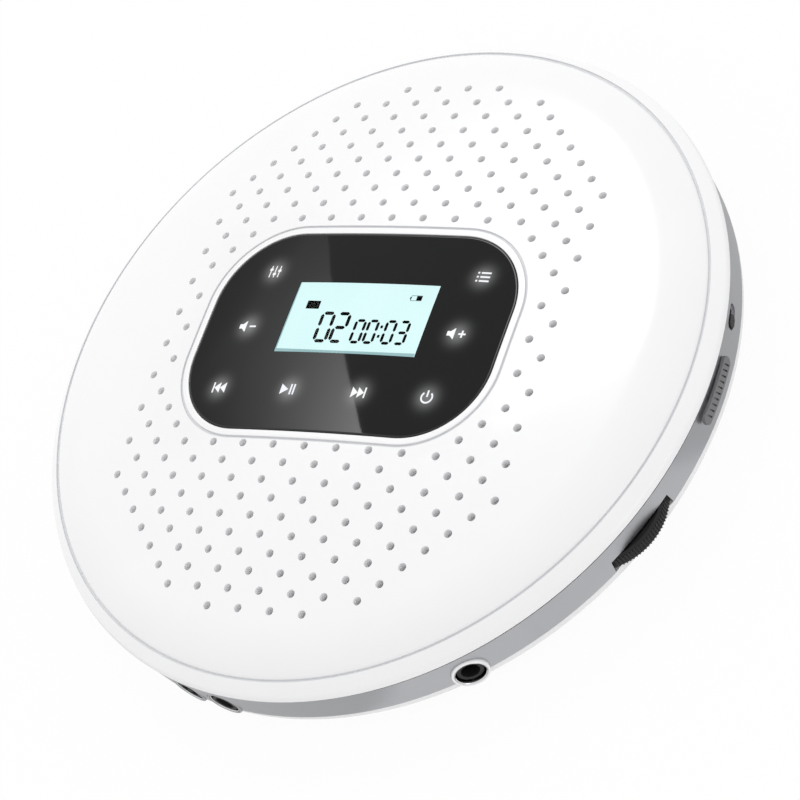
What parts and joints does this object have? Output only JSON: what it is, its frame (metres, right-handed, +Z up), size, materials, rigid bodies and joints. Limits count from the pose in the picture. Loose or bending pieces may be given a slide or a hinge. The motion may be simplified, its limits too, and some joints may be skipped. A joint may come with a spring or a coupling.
{
  "type": "portable cd player",
  "caption": "Round portable disc player: domed lid with touch panel and sound holes, hinged over a disc drive, volume wheel and sockets on its side band.",
  "frame": {"origin": "on the surface that the feet stand on, at the middle of the case's bounding box, under the spindle", "axes": "+Z up out of the lid, +X towards the listener's right, where the lid opens, +Y away from the listener, towards the lens' travel"},
  "size_m": [0.1466, 0.146, 0.0258],
  "materials": {
    "white_shell": "gloss white moulded plastic",
    "black_glass": "black glass, printed behind",
    "silver_band": "satin silver lacquer",
    "black_plastic": "fine matt black",
    "white_knob": "satin white",
    "deck_plastic": "matt charcoal",
    "socket_ring": "polished",
    "socket_plastic": "black",
    "steel": "bright steel",
    "chassis_steel": "zinc plated sheet",
    "board": "green solder mask",
    "chip": "black moulding",
    "capacitor_can": "bright can",
    "battery_wrap": "blue film wrap",
    "foam": "closed-cell foam",
    "foot_rubber": "grey rubber",
    "cloth": "woven grey",
    "display": "liquid crystal module",
    "film": "sensor film",
    "lens_glass": "coated lens",
    "gear_plastic": "natural acetal",
    "drive_plastic": "black moulding"
  },
  "bodies": {
    "base": {"base_shell": "white_shell", "feet": "foot_rubber", "case_screws": "steel", "side_band": "silver_band", "disc_deck": "deck_plastic", "hinge_block": "deck_plastic", "hinge_pin": "steel", "hold_switch": "drive_plastic", "volume_pot": "drive_plastic", "headphone_jack": "socket_plastic", "line_jack": "socket_plastic", "charge_jack": "socket_plastic", "socket_bezels": "socket_ring", "main_board": "board", "control_chips": "chip", "capacitors": "capacitor_can", "battery": "battery_wrap", "battery_pad": "foam", "lid_switch": "drive_plastic", "chassis": "chassis_steel", "dampers": "foot_rubber", "spindle_motor": "steel", "guide_rods": "steel", "sled_motor": "steel"},
    "lid": {"lid_shell": "white_shell", "panel_glass": "black_glass", "touch_sensor": "film", "lcd_module": "display", "display_board": "board", "display_screws": "steel", "grille_cloth": "cloth", "speaker_front": "drive_plastic", "speaker_rear": "drive_plastic", "lid_liner": "deck_plastic", "liner_screws": "steel"},
    "open_slider": {"open_slider": "silver_band"},
    "hold_slider": {"hold_slider": "black_plastic"},
    "volume_dial": {"volume_dial": "black_plastic"},
    "lid_plunger": {"lid_plunger": "gear_plastic"},
    "turntable": {"turntable": "drive_plastic", "disc_pad": "foot_rubber", "spindle_shaft": "steel"},
    "hub_claw_1": {"hub_claw_1": "gear_plastic"},
    "hub_claw_2": {"hub_claw_2": "gear_plastic"},
    "hub_claw_3": {"hub_claw_3": "gear_plastic"},
    "pickup_sled": {"pickup_sled": "drive_plastic"},
    "lens": {"lens_holder": "drive_plastic", "objective_lens": "lens_glass"},
    "reduction_gear": {"reduction_gear": "gear_plastic"},
    "motor_pinion": {"motor_pinion": "gear_plastic"}
  },
  "joints": [
    {"name": "lid_hinge", "type": "hinge", "parent": "base", "child": "lid", "pos_m": [-0.0712, 0, 0.0116], "axis": [0, -1, 0], "range_deg": [0, 75]},
    {"name": "open_slide", "type": "slide", "parent": "base", "child": "open_slider", "axis": [0, 1, 0], "range_m": [0, 0.003], "stiffness_N_per_m": 400},
    {"name": "hold_slide", "type": "slide", "parent": "base", "child": "hold_slider", "axis": [-0.1908, 0.9816, 0], "range_m": [0, 0.002]},
    {"name": "volume_turn", "type": "hinge", "parent": "base", "child": "volume_dial", "pos_m": [0.05665, -0.02569, 0.00745], "axis": [0, 0, 1], "range_deg": [-140, 140]},
    {"name": "lid_switch_press", "type": "slide", "parent": "base", "child": "lid_plunger", "axis": [0, 0, 1], "range_m": [-0.0008, 0], "stiffness_N_per_m": 300},
    {"name": "turntable_spin", "type": "hinge", "parent": "base", "child": "turntable", "pos_m": [0, 0, 0.0126], "axis": [0, 0, 1], "continuous": true},
    {"name": "hub_claw_1_press", "type": "slide", "parent": "turntable", "child": "hub_claw_1", "axis": [0, -1, 0], "range_m": [0, 0.0005], "stiffness_N_per_m": 600},
    {"name": "hub_claw_2_press", "type": "slide", "parent": "turntable", "child": "hub_claw_2", "axis": [0.866, 0.5, 0], "range_m": [0, 0.0005], "stiffness_N_per_m": 600},
    {"name": "hub_claw_3_press", "type": "slide", "parent": "turntable", "child": "hub_claw_3", "axis": [-0.866, 0.5, 0], "range_m": [0, 0.0005], "stiffness_N_per_m": 600},
    {"name": "sled_slide", "type": "slide", "parent": "base", "child": "pickup_sled", "axis": [0, 1, 0], "range_m": [0, 0.032]},
    {"name": "lens_focus", "type": "slide", "parent": "pickup_sled", "child": "lens", "axis": [0, 0, 1], "range_m": [-0.0004, 0.0004], "stiffness_N_per_m": 60},
    {"name": "reduction_gear_spin", "type": "hinge", "parent": "base", "child": "reduction_gear", "pos_m": [0.0244, 0.026, 0.004], "axis": [0, 0, 1], "range_deg": [-580, 10]},
    {"name": "motor_pinion_spin", "type": "hinge", "parent": "base", "child": "motor_pinion", "pos_m": [0.0304, 0.01561, 0.004], "axis": [0, 0, 1], "range_deg": [-10, 1600]}
  ],
  "couplings": [
    {"joint": "reduction_gear_spin", "follows": "sled_slide", "rad_per_m": -312.5},
    {"joint": "motor_pinion_spin", "follows": "sled_slide", "rad_per_m": 859.38}
  ]
}
